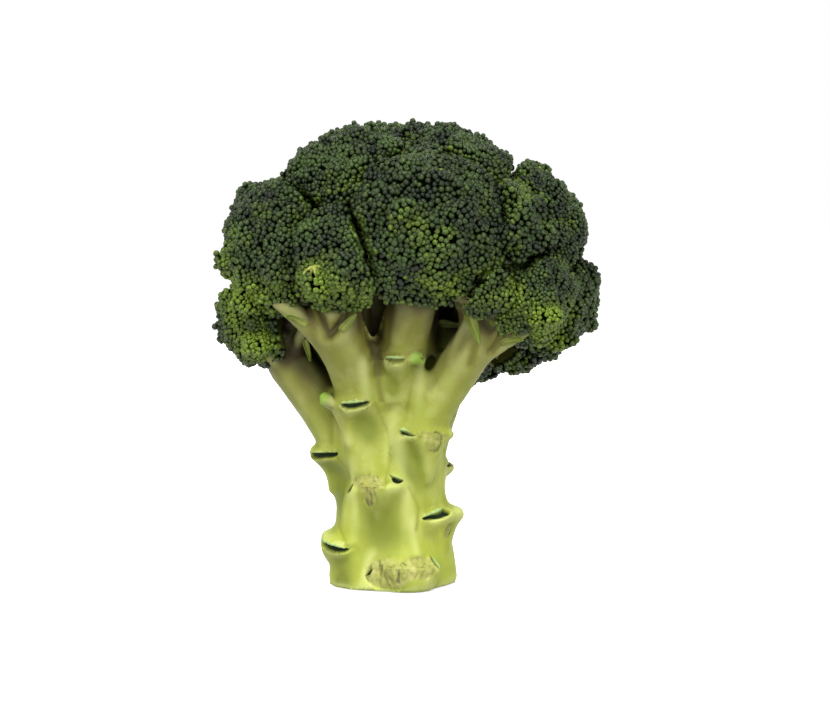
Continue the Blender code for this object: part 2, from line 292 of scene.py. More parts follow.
bm = merged_copy("stalk")
for number, (middle, axis, reach) in enumerate(undersides.values()):
    side, other = round_frame(axis)
    for k in range(BRANCHLETS):
        turn = (math.pi * (2 * k + 1) - TURNED * number) / BRANCHLETS
        away = side * math.cos(turn) + other * math.sin(turn)
        long = 0.66 + 0.1 * math.sin(3.7 * k + number)
        path = bent(middle - axis * 0.8 * DIVIDING, middle - axis * 0.3 * DIVIDING + away * 0.4 * reach,
                    middle + axis * 2 * MM + away * long * reach, 6)
        stem(bm, path, np.linspace(*BRANCHLET_RADII, 6) * reach)
stalk_tree = BVHTree.FromBMesh(bm)
for (x0, z0), (x1, z1), (x2, z2), thick, thin, out in FRONT_STEMS:
    path = []
    hit = front_hit(stalk_tree, x0, z0)
    for x, z, deep in ((x0, z0, 1.7 * thick), (x1, z1, 0.5 * thick - out / 2), (x2, z2, 0.3 * thick - out)):
        path.append(np.array((x, deep, z)) * MM + (0, hit.y, 0))
    stem(bm, bent(*path, 7), np.linspace(thick, thin, 7) * MM)
*path, thick, thin = INNER_STEM
stem(bm, bent(*[np.array(place) * MM for place in path], 7), np.linspace(thick, thin, 7) * MM)
stalk_mesh = skin_over(bm, STALK_VOXEL, STALK_SMOOTHING)


# ---- Cut leaves on the stalk ----
# A leaf grew every 137.5 degrees up the stalk. Most were cut off close to it, which leaves a
# lip of pale flesh with the leaf's dark green skin under it; others were torn off.

# at: the heading in degrees from the front towards +X, and the lip's height. The rest is in mm too.
# shift and slope raise the stalk's surface there, lip is how far it stands out, and waist how far
# the stalk draws in below it. A cut has a start and an end (along, up), the thickness of the dark
# skin and the height of the pale cut face over it. Torn flesh, swellings, the hollow below with its
# painted shade and an eased ledge each lie round a place. dried is the share of its darkness that the skin
# has.
LEAF_MARKS = {
    "foot": dict(at=(8, 10), shift=2.6, lip=0.6, waist=0.0, hollow=(0, -16, 6, 8, 0),
                 cuts=[(-12.6, -4.8, -10.2, -2.0, 0.6, 0), (12.4, 2.2, 15.6, -2.6, 0.6, 0.3)],
                 torn=[(-4.5, -3.6, 8.8, 6.6), (6.5, -1.2, 8.0, 4.6)]),
    "back_low": dict(at=(157, 14), lip=0.8, waist=1.0, cuts=[(-9, -0.6, 7, 0.3, 1.6, 0.9)]),
    "left_low": dict(at=(-50, 16), shift=-3.4, slope=-0.1, lip=1.0, waist=0.6,
                     cuts=[(-9.4, 0.9, 4.4, -1.0, 2.5, 0.9)], swell=[(-13, -5, 5, 1.5, 0)]),
    "right_low": dict(at=(50, 28), shift=1.2, slope=0.22, lip=0.9, waist=1.2,
                      cuts=[(-6.5, -1.6, 5.6, 1.1, 1.8, 0.7)], torn=[(6.0, -7.5, 2.6, 3.6)],
                      swell=[(12, -1.5, 3.2, 1.6, 0)], hollow=(-3, -30, 3, 3, 0)),
    "back_left_low": dict(at=(210, 32.6), lip=0.8, waist=1.6,
                          cuts=[(-9, -0.8, -3, -0.2, 1.4, 0.6), (5, -0.1, 9, -0.6, 1.2, 0.5)],
                          torn=[(1.0, -3.0, 4.5, 4.0)]),
    "front": dict(at=(-12, 40), shift=1.6, lip=0.8, waist=0.6, hollow=(0.8, -15.5, 9.5, 12.5, 0),
                  cuts=[(-14.9, -4.6, -12.0, -1.2, 1.6, 0), (4.6, 2.4, 9.2, 1.0, 1.6, 0.4)],
                  torn=[(-4.8, -0.4, 8.2, 3.6), (-3.4, -5.0, 3.2, 5.0)]),
    "right_back": dict(at=(112, 44), shift=-1.8, lip=0.8, waist=1.8, cuts=[(-8, -0.4, 7.5, 0.2, 1.1, 1.6)]),
    "left": dict(at=(-76, 49.5), shift=-1.2, lip=0.9, waist=3.2, ease=(0, -14, 14, 8),
                 cuts=[(-10, -1.4, 3.2, 0.2, 2.6, 0.4)]),
    "right": dict(at=(40, 59), shift=1.8, slope=-0.05, lip=0.9, waist=0.8,
                  hollow=(-7.5, -12.5, 4.2, 10, -0.4),
                  cuts=[(-9.8, 0.3, -7.4, -0.3, 1.4, 0.7), (2.0, -4.5, 1.0, -8.2, 1.0, 0)],
                  torn=[(-1.5, -1.5, 7.2, 2.2), (-1.4, -4.4, 3.4, 4.0)], swell=[(8.5, -2, 2.4, 1.8, 0.5)]),
    "back": dict(at=(178, 63), lip=0.9, waist=1.4, cuts=[(-7.5, 0.4, 7, -0.6, 1.5, 0.8)]),
    "left_high": dict(at=(-32, 70), shift=0.9, slope=0.03, lip=1.1, waist=1.2,
                      hollow=(2.8, -10.5, 4.2, 6.5, 0),
                      cuts=[(-4.8, -0.8, 4.6, 0.3, 2.2, 0.6)], swell=[(-11.6, -0.4, 2.1, 4.6, 1.0)]),
    "right_high": dict(at=(93, 75.6), lip=0.8, waist=1.0, cuts=[(-7, -0.3, 7, 0.3, 1.3, 0.8)]),
    "back_left_high": dict(at=(230, 81.8), lip=0.8, waist=1.0, cuts=[(-6.5, 0.1, 6, -0.3, 1.3, 0.8)]),
    "front_high": dict(at=(2, 87), shift=-0.8, lip=0.9, waist=0.4, hollow=(0, -12, 3, 5, 0),
                       cuts=[(-3.2, -0.4, 4.8, -0.7, 1.7, 0.5), (9.4, -0.2, 11.3, -0.4, 1.0, 0.3)],
                       swell=[(8.6, -0.8, 2.4, 1.6, 1.0)], dried=0.5),
}
# where the hollow below a leaf, pressed in and painted darker as painted shade, usually lies
USUAL_HOLLOW = (0, -15, 6.5, 9, 0)
LEAF_DEPTH = 13 * MM  # a leaf's mark ends this far in front of its lip or behind it
SOFT = 0.15 * MM  # over this width the dark skin and the pale cut face run out
LIP_FADE = 7 * MM  # a lip runs out in the stalk this far below
WARP = (14 * MM, 7 * MM)  # how far along and up a lip's shift is felt
GROOVE = 1.3 * MM  # depth of the dark skin under a lip
WAIST = (9.5 * MM, 5 * MM, 13 * MM)  # where it draws in: how far below a lip, half height and half width
PANEL_DEPTH = 0.75 * MM  # the stalk is a little hollow below a leaf
RIDGE_HEIGHT = 0.22 * MM  # and ridged below the leaf's two ends
RIDGES = (11 * MM, 1.6 * MM, 30 * MM)  # how far out from the leaf's middle, half width and length
TORN_RELIEF = (0.5 * MM, 0.55 * MM)  # height of the ragged flesh and how deep it was torn
TORN_GRAIN = 1.3 * MM
EASING = 70  # rounds of smoothing where a ledge is eased
SEAMS = (  # where branches grew together on the front: half width, depth and places (x, z), all in mm
    (0.8, 0.36, (-5.3, 69), (-1.1, 58), (0, 49), (-1.1, 44), (-2, 41)),
    (0.8, 0.36, (7.9, 75), (6.4, 67.5), (5.6, 62.6)),
    (0.8, 0.36, (-21.8, 67.5), (-22.1, 52.9)),
    (0.8, 0.36, (-20.6, 48.8), (-18, 43.9), (-18, 40)),
    (0.8, 0.36, (-19, 34), (-19.5, 22), (-16, 16)),
    (0.8, 0.36, (7, 38), (11, 30), (10, 22)),
    # the deeper seams below are gaps between branches, painted dark as their shadow
    (1.5, 1.9, (-22.5, 95), (-25.5, 102), (-28, 109)),
    (1.7, 2.1, (-22.5, 95), (-17, 101), (-13, 106)),
    (1.4, 0.8, (29.5, 84), (31, 91), (31.5, 99)),
    (1.4, 1.2, (37, 89), (41, 96), (44, 101)),
    (3.4, 1.8, (-6.5, 106), (-5.5, 92)),
    (2.2, 1.8, (-5.5, 92), (-5.0, 86)),
    (1.6, 1.2, (-5.0, 86), (-4.5, 80)),
    (1.0, 0.8, (-4.5, 80), (-3.5, 70)),
)
SEAMS_END = 14 * MM  # they are pressed in up to this far behind the middle
FINE_SEAM = 0.12 * MM  # the mesh is made finer where they are deeper
CLEAR = 62 * MM  # nothing closes the stalk in below this height
FEELERS, FEELER = 7, 26 * MM  # directions tried from each place and how far
OFF_SKIN = 0.6 * MM  # each starts this far above the skin
# painted shade: within this reach of the crown the flesh is painted darker olive brown
CROWN_SHADE_REACH = 40 * MM  # this near to the crown the flesh gets less light and turns olive brown


def leaf_frame(heading):
    """The directions out of the stalk and along it at a heading."""
    turn = math.radians(heading)
    return np.array((math.sin(turn), -math.cos(turn), 0)), np.array((math.cos(turn), math.sin(turn), 0))


def leaf_view(points, mark, tree):
    """Places seen from a leaf: along it, up from its lip and whether they are on its skin."""
    (heading, height), (out, along) = mark["at"], leaf_frame(mark["at"][0])
    start = Vector(out * 0.1) + Vector((0, 0, (height - 1) * MM))
    reach = Vector(tree.ray_cast(start, Vector(-out))[0]).dot(Vector(out))
    return points @ along, points[:, 2] - height * MM, np.abs(points @ out - reach) < LEAF_DEPTH


def along_cut(u, v, cut):
    """Share of the way along a cut, and how far under its line a place is."""
    u0, v0, u1, v1 = (value * MM for value in cut[:4])
    long = math.hypot(u1 - u0, v1 - v0)
    share = ((u - u0) * (u1 - u0) + (v - v0) * (v1 - v0)) / long**2
    return share, ((u - u0) * (v1 - v0) - (v - v0) * (u1 - u0)) / long


def tree_of(*meshes):
    """One search tree for the faces of the meshes."""
    first = np.cumsum([0] + [len(mesh.vertices) for mesh in meshes])
    faces = [[v + start for v in face.vertices]
             for mesh, start in zip(meshes, first) for face in mesh.polygons]
    return BVHTree.FromPolygons(np.concatenate([places(mesh) for mesh in meshes]).tolist(), faces)


def hump(across, wide):
    return np.exp(-((across / wide) ** 2))


def closed_in(points, normals, tree):
    """The share of directions out of each place that something stands in."""
    side = unit(np.cross(normals, (0.31, 0.52, 0.79)))
    other = np.cross(normals, side)
    closed = np.zeros(len(points))
    starts = (points + OFF_SKIN * normals).tolist()
    for k in range(FEELERS):
        turn, rise = 2.4 * k, 0.25 + 0.7 * k / FEELERS
        flat = math.sqrt(1 - rise * rise)
        ways = ((side * math.cos(turn) + other * math.sin(turn)) * flat + normals * rise).tolist()
        closed += [tree.ray_cast(start, way, FEELER)[0] is not None for start, way in zip(starts, ways)]
    return closed / FEELERS


def near_seams(points, normals):
    """How far each place is pressed in where branches grew together, in metres."""
    front = (points[:, 1] < SEAMS_END) & (normals[:, 1] < -0.15)
    pressed = np.zeros(len(points))
    for wide, depth, *line in SEAMS:
        for (x0, z0), (x1, z1) in zip(line, line[1:]):
            start, way = np.array((x0, z0)) * MM, np.array((x1 - x0, z1 - z0)) * MM
            flat = points[:, (0, 2)] - start
            share = np.clip(flat @ way / (way @ way), 0, 1)
            away = np.linalg.norm(flat - np.outer(share, way), axis=1)
            pressed = np.maximum(pressed, front * depth * MM * hump(away, wide * MM))
    return pressed


tree = tree_of(stalk_mesh)
points = places(stalk_mesh)
lift = np.zeros(len(points))
for mark in LEAF_MARKS.values():
    u, v, near = leaf_view(points, mark, tree)
    moved = mark.get("shift", 0) * MM + mark.get("slope", 0) * u
    lift += near * hump(u, WARP[0]) * hump(v, WARP[1]) * moved
edges = edge_table(stalk_mesh)
flattened = np.stack([averaged(column, edges, EASING) for column in points.T], axis=1)
for mark in LEAF_MARKS.values():
    if "ease" in mark:
        u, v, near = leaf_view(points, mark, tree)
        x, y, wide, tall = (value * MM for value in mark["ease"])
        points += (near * hump(u - x, wide) * hump(v - y, tall))[:, None] * (flattened - points)
points[:, 2] = np.where(points[:, 2] > FOOT, np.maximum(FOOT, points[:, 2] + lift), 0)
move_to(stalk_mesh, points)

tree = tree_of(stalk_mesh)
bm = bmesh.new()
bm.from_mesh(stalk_mesh)
fine = near_seams(points, vertex_normals(stalk_mesh)) > FINE_SEAM
for mark in LEAF_MARKS.values():
    u, v, near = leaf_view(points, mark, tree)
    for cut in mark["cuts"]:
        share, under = along_cut(u, v, cut)
        thick, face = cut[4] * MM, cut[5] * MM
        along = (share > -0.1) & (share < 1.1)
        fine |= near & along & (under > -face - 4 * SOFT) & (under < thick + 4 * SOFT)
    for x, y, wide, tall in mark.get("torn", ()):
        fine |= near & (((u / MM - x) / (1.1 * wide)) ** 2 + ((v / MM - y) / (1.1 * tall)) ** 2 < 1)
bm.verts.ensure_lookup_table()
inside = {bm.verts[i] for i in np.flatnonzero(fine)}
edges = [e for e in bm.edges if e.verts[0] in inside and e.verts[1] in inside]
bmesh.ops.subdivide_edges(bm, edges=edges, cuts=2, use_grid_fill=True)
bm.to_mesh(stalk_mesh)
bm.free()

points, normals = places(stalk_mesh), vertex_normals(stalk_mesh)
dark, mint, torn, olive, ridge, fresh, push = (np.zeros(len(points)) for _ in range(7))
for mark in LEAF_MARKS.values():
    u, v, near = leaf_view(points, mark, tree)
    for cut in mark["cuts"]:
        share, under = along_cut(u, v, cut)
        thick, face = cut[4] * MM, cut[5] * MM
        ends = smoothstep(0, 0.07, share) * smoothstep(1, 0.93, share)
        lens = thick * np.clip(4 * share * (1 - share), 0, 1) ** 0.6
        in_lens = near * ends * smoothstep(-SOFT, SOFT, under)
        in_lens *= smoothstep(0.25 * MM, -SOFT, under - lens)
        rise = face * smoothstep(1.05, 0.6, share) * smoothstep(-0.05, 0.2, share)
        in_mint = near * ends * smoothstep(0.2 * MM, -0.1 * MM, under)
        in_mint *= smoothstep(-rise - SOFT, -rise + SOFT, under) * (face > 0)
        dark = np.maximum(dark, in_lens * mark.get("dried", 1))
        mint = np.maximum(mint, in_mint)
        low = smoothstep(lens - 0.1 * MM, lens + 0.5 * MM, under) * smoothstep(LIP_FADE, 0, under)
        wide_ends = smoothstep(-0.15, 0.15, share) * smoothstep(1.15, 0.85, share)
        push += near * wide_ends * mark["lip"] * MM * (low + (in_mint > 0.3) * 0.7) - GROOVE * in_lens
    for x, y, wide, tall in mark.get("torn", ()):
        away = np.sqrt(((u / MM - x) / wide) ** 2 + ((v / MM - y) / tall) ** 2)
        torn = np.maximum(torn, near * smoothstep(1.15, 0.6, away))
    for x, y, wide, tall, green in mark.get("swell", ()):
        swell = near * hump(u - x * MM, wide * MM) * hump(v - y * MM, wide * MM)
        push += swell * tall * MM
        fresh = np.maximum(fresh, swell * green)
    push -= near * mark["waist"] * MM * hump(u, WAIST[2]) * hump(v + WAIST[0], WAIST[1])
    # the panel below a leaf is pressed in and painted darker olive as painted shade
    x, y, wide, tall, lean = mark.get("hollow", USUAL_HOLLOW)
    panel = near * hump(u - x * MM - lean * (v - y * MM), wide * MM) * hump(v - y * MM, tall * MM)
    olive = np.maximum(olive, panel)
    # the ridges below a leaf's ends are raised a little and painted paler as a painted highlight
    for end in (-RIDGES[0], RIDGES[0]):
        line = near * hump(u - end * (1 + 0.15 * v / (20 * MM)), RIDGES[1])
        line *= smoothstep(-RIDGES[2], -4 * MM, v) * smoothstep(2 * MM, -4 * MM, v)
        ridge = np.maximum(ridge, line)
seam = near_seams(points, normals)
push -= seam
stretched = points * (1, 1, 0.45) / TORN_GRAIN
rough = np.array([noise.fractal(Vector(p), 0.9, 2.1, 4) if t > 0.02 else 0 for p, t in zip(stretched, torn)])
foot = points[:, 2] < FOOT
push += torn * (TORN_RELIEF[0] * rough - TORN_RELIEF[1]) + RIDGE_HEIGHT * ridge - PANEL_DEPTH * olive
move_to(stalk_mesh, points + normals * (push * ~foot)[:, None])
edges = edge_table(stalk_mesh)
# how far the flesh lies under its neighbours, in mm: it paints shade in hollows and a highlight on bulges
hollow = averaged(hollowness(stalk_mesh), edges, 4) / MM
crown = tree_of(*beds.values())
# the distance to the crown, from which its painted shade is worked out
shelter = np.array([crown.find_nearest(place, CROWN_SHADE_REACH)[3] or CROWN_SHADE_REACH for place in points.tolist()])
# how closed in each place is by the crown and stalk: it paints shade there and strengthens the crown's
# painted shade
closed = np.zeros(len(points))
high = points[:, 2] > CLEAR
closed[high] = closed_in(points[high], normals[high], tree_of(stalk_mesh, *beds.values()))
closed = averaged(closed, edges, 3)
masks = {
    "closed": closed,
    "shelter": smoothstep(CROWN_SHADE_REACH, 0, shelter) * np.minimum(1, 0.55 + 1.2 * closed),
    "dark": dark,
    "mint": mint * (1 - dark),
    "torn": torn,
    "olive": olive,
    "ridge": np.clip(averaged(ridge, edges, 2), 0, 1),
    "hollow": hollow,
    "seam": seam / MM,
    "fresh": fresh,
    "cut": averaged(foot.astype(float), edges, 1),
}
for name, values in masks.items():
    set_attribute(stalk_mesh, name, values)


def linear(text, alpha=1):
    """An sRGB hex colour as linear RGBA."""
    values = [int(text[i:i + 2], 16) / 255 for i in (0, 2, 4)]
    return (*[v / 12.92 if v <= 0.04045 else ((v + 0.055) / 1.055) ** 2.4 for v in values], alpha)


def new_material(name):
    material = bpy.data.materials.new(name)
    material.use_nodes = True
    return material, material.node_tree, material.node_tree.nodes["Principled BSDF"]


def add_node(tree, kind, fill=None, **settings):
    """Adds a shader node. fill gives its inputs: another node's output links, a value is set."""
    node = tree.nodes.new(kind)
    for name, value in settings.items():
        setattr(node, name, value)
    for socket, value in (fill or {}).items():
        if isinstance(value, bpy.types.NodeSocket):
            tree.links.new(value, node.inputs[socket])
        else:
            node.inputs[socket].default_value = value
    return node


# Waxy broccoli skin: a soft sheen, a fine pale speckle of wax and flesh that glows a little.
# It is yellow-green at the foot and turns olive brown upwards; the darkening under the crown is
# painted shade. A pattern's scale is its patches to a millimetre. The wax is really far finer and is
# drawn this coarse to show.
skin, tree, shader = new_material("waxy_stalk_skin")
position = add_node(tree, "ShaderNodeTexCoord").outputs["Object"]
height = add_node(tree, "ShaderNodeSeparateXYZ", {0: position}).outputs["Z"]
share = add_node(tree, "ShaderNodeMapRange", {0: height, "From Min": 0.0, "From Max": 140 * MM}).outputs[0]
# painted shade of the crown: the flesh colour darkens with height
ramp = add_node(tree, "ShaderNodeValToRGB", {0: share})
stops = ramp.color_ramp.elements
stops[0].color, stops[1].color = linear("b0ba3c"), linear("665f28")
for place, text in ((0.28, "a2ab34"), (0.46, "909431"), (0.6, "7f7f36"), (0.74, "726d2f")):
    stops.new(place).color = linear(text)
colour = ramp.outputs[0]
mask = {name: add_node(tree, "ShaderNodeAttribute", attribute_name=name).outputs["Fac"] for name in masks}
long_grain = add_node(tree, "ShaderNodeMapping", {0: position, "Scale": (1.0, 1.0, 0.22)}).outputs[0]
short_grain = add_node(tree, "ShaderNodeMapping", {0: position, "Scale": (1.0, 1.0, 0.5)}).outputs[0]
pattern = {}
for name, grain, settings in (
    ("broad", position, {"Scale": 0.08 / MM, "Detail": 3.0}),
    ("streak", long_grain, {"Scale": 0.42 / MM, "Detail": 2.0}),
    ("speck", position, {"Scale": 2.6 / MM, "Detail": 2.0}),
    ("clump", position, {"Scale": 0.21 / MM, "Detail": 1.0}),
    ("fibre", short_grain, {"Scale": 0.52 / MM, "Detail": 5.0, "Roughness": 0.65, "Distortion": 0.6}),
    ("tear", long_grain, {"Scale": 0.38 / MM, "Detail": 3.0, "Distortion": 0.4}),
    ("strand", position, {"Scale": 0.9 / MM, "Detail": 3.0}),
):
    pattern[name] = add_node(tree, "ShaderNodeTexNoise", {"Vector": grain, **settings}).outputs[0]
for source, low, high, most, text in (
    (pattern["speck"], 0.42, 0.75, 0.14, "d8dc9c"),
    (pattern["broad"], 0.42, 0.68, 0.6, "93a038"),
    (pattern["broad"], 0.52, 0.3, 0.4, "ccd37c"),
    (pattern["streak"], 0.5, 0.75, 0.3, "96a338"),
    # painted shade of the crown
    (mask["shelter"], 0.0, 0.8, 0.85, "68601f"),
    (mask["shelter"], 0.5, 0.95, 0.82, "352a0e"),
    # painted shade where the stalk is closed in
    (mask["closed"], 0.3, 0.85, 0.92, "1f1406"),
    # painted shade in the hollow panel below a leaf
    (mask["olive"], 0.0, 0.8, 0.88, "6c7620"),
    # painted shade in hollows and a painted highlight on bulges
    (mask["hollow"], 0.01, 0.08, 0.75, "7e8830"),
    (mask["hollow"], -0.012, -0.08, 0.4, "d3d98a"),
    # painted highlight on the ridges
    (mask["ridge"], 0.1, 0.9, 0.4, "d6dc8e"),
    # the seams' darker lines; in the deep gaps between branches the dark is painted shadow
    (mask["seam"], 0.1, 0.6, 0.6, "716f28"),
    (mask["seam"], 0.6, 1.6, 0.75, "33290f"),
    (mask["fresh"], 0.2, 0.7, 0.8, "8cb238"),
):
    amount = add_node(tree, "ShaderNodeMapRange", {
        0: source, "From Min": low, "From Max": high, "To Max": most}).outputs[0]
    colour = add_node(tree, "ShaderNodeMix", {0: amount, 6: colour, 7: linear(text)},
                      data_type="RGBA").outputs[2]

# Torn flesh: dry, straw-coloured fibres with scraps of skin and dark tears between them.
ragged = add_node(tree, "ShaderNodeMath", {0: mask["torn"], 1: pattern["fibre"]}, operation="ADD").outputs[0]
open_flesh = add_node(tree, "ShaderNodeMapRange", {
    0: ragged, "From Min": 0.85, "From Max": 1.15, "To Max": 0.9}).outputs[0]
scraps = add_node(tree, "ShaderNodeMath", {0: pattern["fibre"], 1: pattern["clump"]},
                  operation="ADD").outputs[0]
scraps = add_node(tree, "ShaderNodeMath", {0: scraps, 1: 0.5}, operation="MULTIPLY").outputs[0]
flesh = add_node(tree, "ShaderNodeValToRGB", {0: scraps})
stops = flesh.color_ramp.elements
stops[0].position, stops[0].color = 0.35, linear("7a7c38")
stops[1].position, stops[1].color = 0.62, linear("b2b06a")
stops.new(0.42).color = linear("959650")
stops.new(0.50).color = linear("a0a052")
tears = add_node(tree, "ShaderNodeMapRange", {
    0: pattern["tear"], "From Min": 0.56, "From Max": 0.66, "To Max": 0.85}).outputs[0]
tears = add_node(tree, "ShaderNodeMath", {0: tears, 1: open_flesh}, operation="MULTIPLY").outputs[0]

# The cut end: a pale pith, a ring of darker strands near the skin and a dry, greener rim.
flat = add_node(tree, "ShaderNodeMapping", {
    0: position, "Location": (-1 * MM, 0.0, 0.0), "Scale": (1.0, 1.15, 0.0)}).outputs[0]
reach = add_node(tree, "ShaderNodeVectorMath", {0: flat}, operation="LENGTH").outputs["Value"]
uneven = add_node(tree, "ShaderNodeMath", {0: pattern["strand"], 1: 6 * MM, 2: reach},
                  operation="MULTIPLY_ADD").outputs[0]
share = add_node(tree, "ShaderNodeMapRange", {0: uneven, "From Min": 3 * MM, "From Max": 27 * MM}).outputs[0]
rings = add_node(tree, "ShaderNodeValToRGB", {0: share})
stops = rings.color_ramp.elements
stops[0].color, stops[1].color = linear("d6dba6"), linear("a3b058")
for place, text in ((0.5, "cdd398"), (0.62, "a9ad6a"), (0.7, "c3cb84"), (0.85, "b9c474")):
    stops.new(place).color = linear(text)

# Over the skin lie the flesh and its tears, a leaf's pale cut face and dark skin, and the cut end.
for share, over in (
    (open_flesh, flesh.outputs[0]),
    (tears, linear("4c531f")),
    (mask["mint"], linear("a3bf78")),
    (mask["dark"], linear("0c200b")),
    (mask["cut"], rings.outputs[0]),
):
    colour = add_node(tree, "ShaderNodeMix", {0: share, 6: colour, 7: over}, data_type="RGBA").outputs[2]
tree.links.new(colour, shader.inputs["Base Color"])
dull = add_node(tree, "ShaderNodeMapRange", {0: mask["dark"], "To Min": 0.6, "To Max": 1.0})
tree.links.new(dull.outputs[0], shader.inputs["Roughness"])
shader.inputs["Specular IOR Level"].default_value = 0.3
shader.inputs["Subsurface Weight"].default_value = 0.1
shader.inputs["Subsurface Radius"].default_value = (1.5 * MM, 2 * MM, 0.6 * MM)
shader.inputs["Subsurface Scale"].default_value = 1.0
bump = add_node(tree, "ShaderNodeBump", {"Height": pattern["speck"], "Strength": 0.15, "Distance": 0.3 * MM})
tree.links.new(bump.outputs[0], shader.inputs["Normal"])

stalk_mesh.materials.clear()
stalk_mesh.materials.append(skin)
stalk_mesh.shade_smooth()
stalk = new_object("stalk_flesh", stalk_mesh)
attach(stalk, "root")
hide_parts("stalk")


# ---- Bracts ----
# Bracts are the small, thin leaves at the feet of the flower stalks. They are soft, yellow-green
# where the crown shades them, and curl as they wilt. Each grew out of a branch.

# base and tip as places (x, z) seen from the front and, all in mm, how far the tip stands out to
# the front and the bract's width; then its curl in turns
FRONT_BRACTS = (
    ((-18, 97), (-10, 106), 3.0, 3.2, 0.16),
    ((28.5, 103.5), (33, 91), 2.5, 4.6, 0.1),
    ((40, 92), (54, 95.5), 5.0, 2.8, 0.2),
    ((42, 96), (52, 103), 4.0, 2.6, 0.25),
    ((-32, 92), (-28.5, 81), 2.0, 2.4, 0.2),
    ((-30, 99), (-42, 105), 3.0, 2.6, 0.2),
    ((18, 98), (28, 97), 1.0, 3.0, 0.1),
)
BARE_STALKS = ((-27.0, 121.5), 5, 6.0)  # a place (x, z) with few buds, how many stalks and their length in mm
BARE_RADII = (0.6 * MM, 0.4 * MM)
BRACTS_EACH = 3  # and more under every floret, all round
BRACT_LENGTH = 0.5  # of one of these, as a share of the dome's reach
BRACT_THICKNESS = 0.35 * MM


def bract(bm, base, tip, out, wide, curl):
    """Adds a curled, cupped leaf to the bmesh, from base to tip with its face turned out."""
    long = np.linalg.norm(tip - base)
    along = unit(tip - base)
    out = unit(out - along * (out @ along))
    side, bend = np.cross(along, out), curl * math.tau
    verts = bmesh.ops.create_grid(bm, x_segments=4, y_segments=12, size=1)["verts"]
    for vert in verts:
        across, share = vert.co.x, (vert.co.y + 1) / 2
        half = wide / 2 * min(1, 0.6 + 3 * share) * max(0.04, 1 - share) ** 0.6
        vert[rib] = 1 - abs(across)
        vert[tip_share] = share
        place = base + along * (long * math.sin(bend * share) / bend) + side * (across * half)
        vert.co = place + out * (long * (1 - math.cos(bend * share)) / bend + 0.5 * half * across**2)
    return verts


def front_place(x, z):
    """The place on the head that the front shows there."""
    hits = [front_hit(tree, x, z) for tree in (crown, stalk_tree)]
    return np.array(min((hit for hit in hits if hit is not None), key=lambda hit: hit.y))


stalk_tree = tree_of(stalk_mesh)
bm = bmesh.new()
rib, tip_share = (bm.verts.layers.float.new(name) for name in ("rib", "share"))
for (x0, z0), (x1, z1), stand, wide, curl in FRONT_BRACTS:
    base = front_place(x0, z0)
    tip = np.array((x1 * MM, base[1] - stand * MM, z1 * MM))
    bract(bm, base, tip, np.array((0, -1.0, 0)), wide * MM, curl)
for number, (middle, axis, reach) in enumerate(undersides.values()):
    side, other = round_frame(axis)
    for k in range(BRACTS_EACH):
        turn = (math.tau * k - TURNED * number) / BRANCHLETS + 2 * k
        away = side * math.cos(turn) + other * math.sin(turn)
        base = middle - axis * 0.55 * DIVIDING + away * 0.3 * reach
        grown = 0.8 + 0.4 * math.sin(5 * k + number) ** 2
        tip = base + unit(axis + 0.9 * away) * BRACT_LENGTH * reach * grown
        bract(bm, base, tip, away - axis, 0.2 * reach, 0.12 + 0.1 * math.sin(3 * k + number) ** 2)
bmesh.ops.solidify(bm, geom=bm.faces[:], thickness=BRACT_THICKNESS)
(x, z), count, long = BARE_STALKS
heart = front_place(x, z) - np.array((0, 0.3, 0)) * MM
older = set(bm.verts)
for k in range(count):
    turn = -math.pi * (0.1 + 0.8 * k / (count - 1))
    away = np.array((math.cos(turn), 0, math.sin(turn)))
    swirl = np.array((math.sin(turn), 0, -math.cos(turn)))
    path = bent(heart, heart + np.array((0, -2.4, 0)) * MM + away * 0.5 * long * MM,
                heart + np.array((0, 2.0, 0)) * MM + (away * 0.9 - swirl * 0.4) * long * MM, 7)
    stem(bm, path, np.linspace(*BARE_RADII, 7))
for vert in bm.verts:
    if vert not in older:
        vert[rib] = 0.9
bract_mesh = new_mesh("bracts", bm)

# A young leaf: thin and translucent, greener towards its tip, with a pale rib.
leaf_skin, tree, shader = new_material("young_leaf")
position = add_node(tree, "ShaderNodeTexCoord").outputs["Object"]
share = add_node(tree, "ShaderNodeAttribute", attribute_name="share").outputs["Fac"]
colour = add_node(tree, "ShaderNodeMix", {0: share, 6: linear("828a3a"), 7: linear("5c7423")},
                  data_type="RGBA").outputs[2]
mottle = add_node(tree, "ShaderNodeTexNoise",
                  {"Vector": position, "Scale": 0.3 / MM, "Detail": 3.0}).outputs[0]
ribs = add_node(tree, "ShaderNodeAttribute", attribute_name="rib").outputs["Fac"]
for source, low, high, most, text in ((mottle, 0.45, 0.7, 0.4, "435418"), (ribs, 0.6, 1.0, 0.6, "a3a652")):
    amount = add_node(tree, "ShaderNodeMapRange", {
        0: source, "From Min": low, "From Max": high, "To Max": most}).outputs[0]
    colour = add_node(tree, "ShaderNodeMix", {0: amount, 6: colour, 7: linear(text)},
                      data_type="RGBA").outputs[2]
tree.links.new(colour, shader.inputs["Base Color"])
shader.inputs["Roughness"].default_value = 0.55
shader.inputs["Specular IOR Level"].default_value = 0.3
bract_mesh.materials.append(leaf_skin)
bract_mesh.shade_smooth()
bracts = new_object("bracts", bract_mesh)
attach(bracts, "root")


# ---- Buds ----
# The crown is thousands of closed flower buds about 2 mm across, each an egg of four folded
# sepals under a grey waxy bloom. They crowd together on the beds, standing straight out.

